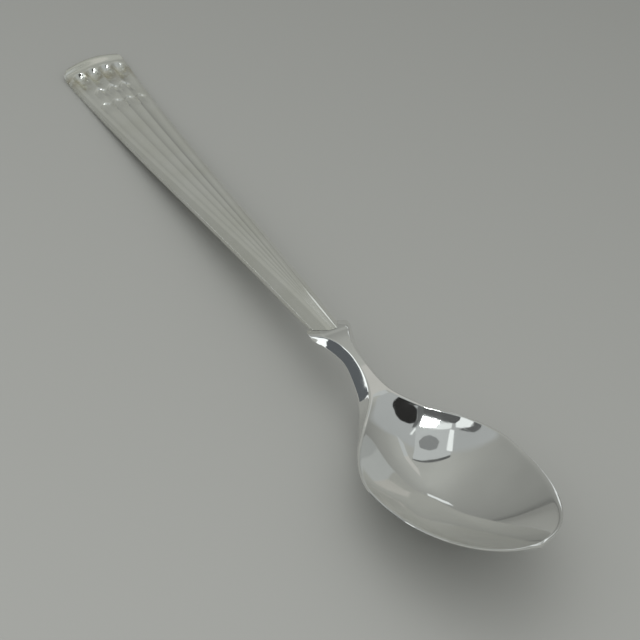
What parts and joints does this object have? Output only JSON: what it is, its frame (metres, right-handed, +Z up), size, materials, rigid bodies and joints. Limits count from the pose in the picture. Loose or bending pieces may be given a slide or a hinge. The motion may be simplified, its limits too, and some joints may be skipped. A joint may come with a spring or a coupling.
{
  "type": "demitasse spoon",
  "caption": "Small polished silver coffee spoon with an egg-shaped bowl, an arched stem with flared shoulders, and a flat handle with shallow flutes that fan out to its end.",
  "frame": {"origin": "middle of the bounding box's floor, on the surface the spoon lies on", "axes": "+X from the handle's end towards the bowl's tip, +Z up out of the bowl, +Y across the spoon"},
  "size_m": [0.1058, 0.0162, 0.0106],
  "materials": {
    "handle_silver": "polished silver with soft wear in the flutes",
    "bowl_silver": "mirror-polished silver"
  },
  "bodies": {
    "root": {"handle": "handle_silver", "bowl": "bowl_silver"}
  },
  "joints": []
}
